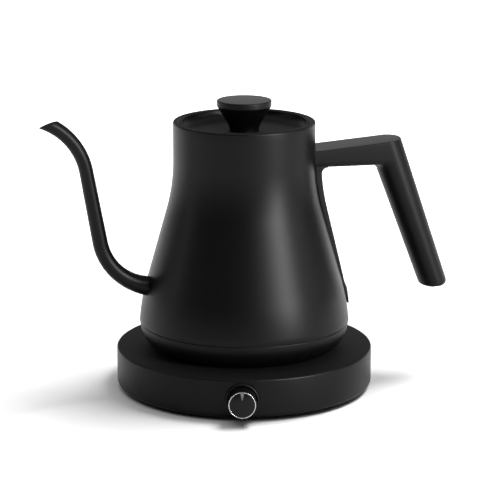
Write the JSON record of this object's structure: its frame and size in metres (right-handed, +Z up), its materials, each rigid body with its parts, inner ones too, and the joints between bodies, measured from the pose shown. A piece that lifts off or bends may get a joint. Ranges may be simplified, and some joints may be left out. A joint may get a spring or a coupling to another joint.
{
  "type": "electric kettle",
  "caption": "Gooseneck electric kettle with a sunk lid, flared knob and angled handle, on a round powered base with a turn-and-press dial.",
  "frame": {"origin": "centre of the foot ring's underside, on the table, on the base's axis", "axes": "+Z up along the base's axis; the dial faces -Y; the kettle's handle points 12 degrees behind +X and its spout 12 degrees in front of -X"},
  "size_m": [0.2694, 0.1842, 0.1932],
  "materials": {
    "aluminium": "plain aluminium",
    "base_moulding": "satin black moulding",
    "black_moulding": "matt black moulding",
    "ceramic": "off-white moulding",
    "chrome": "bright chrome",
    "circuit_board": "green circuit board",
    "coated_steel": "satin black powder coat",
    "coil_tape": "yellow-brown tape",
    "contact_brass": "plain brass",
    "dark_plastic": "plain dark plastic",
    "dial_plastic": "matt black dial",
    "element_sheath": "heat-tinted steel sheath",
    "pointer_metal": "fine satin aluminium",
    "red_silicone": "red silicone",
    "relay_plastic": "blue-black plastic",
    "rubber": "matt black rubber",
    "silicone": "soft black silicone",
    "stainless": "brushed stainless steel",
    "terminal_plastic": "blue plastic",
    "zinc_screw": "zinc plated steel"
  },
  "bodies": {
    "base": {"base_housing": "base_moulding", "base_plate": "dark_plastic", "foot_ring": "rubber", "base_screws": "zinc_screw", "connector_plug": "dark_plastic", "plug_contacts": "contact_brass", "power_board": "circuit_board", "board_screws": "zinc_screw", "relay": "relay_plastic", "transformer": "coil_tape", "capacitor": "relay_plastic", "terminal_block": "terminal_plastic", "control_board": "circuit_board", "buzzer": "dark_plastic", "lead_gland": "rubber", "encoder_body": "aluminium", "encoder_nut": "zinc_screw", "dial_collar": "black_moulding"},
    "plunger": {"encoder_plunger": "stainless"},
    "dial": {"dial_shaft": "aluminium", "dial_cap": "dial_plastic", "dial_ring": "chrome", "dial_pointer": "pointer_metal"},
    "socket": {"kettle_socket": "dark_plastic", "socket_contacts": "contact_brass"},
    "kettle": {"kettle_shell": "coated_steel", "spout_tube": "coated_steel", "lid_seat": "stainless", "floor_plate": "stainless", "heat_spreader": "aluminium", "heating_element": "element_sheath", "thermal_cutout": "ceramic", "temperature_probe": "stainless", "probe_seal": "red_silicone", "seam_gasket": "silicone", "bottom_cap": "black_moulding", "cap_screws": "zinc_screw", "handle": "black_moulding", "handle_screws": "zinc_screw", "handle_nuts": "stainless"},
    "lid": {"lid_dish": "coated_steel", "lid_plug": "dark_plastic", "lid_gasket": "silicone", "lid_knob": "coated_steel", "knob_screw": "stainless", "knob_washer": "silicone"}
  },
  "joints": [
    {"name": "kettle_lift", "type": "slide", "parent": "base", "child": "socket", "axis": [0, 0, 1], "range_m": [0, 0.08]},
    {"name": "kettle_swivel", "type": "hinge", "parent": "socket", "child": "kettle", "pos_m": [0, 0, 0.04], "axis": [0, 0, 1], "continuous": true},
    {"name": "lid_lift", "type": "slide", "parent": "kettle", "child": "lid", "axis": [0, 0, 1], "range_m": [0, 0.06]},
    {"name": "dial_press", "type": "slide", "parent": "base", "child": "plunger", "axis": [0, 1, 0], "range_m": [0, 0.0008], "stiffness_N_per_m": 2500, "springref_m": -0.0004},
    {"name": "dial_turn", "type": "hinge", "parent": "plunger", "child": "dial", "pos_m": [0, -0.09, 0.0148], "axis": [0, -1, 0], "range_deg": [-135, 135]}
  ]
}
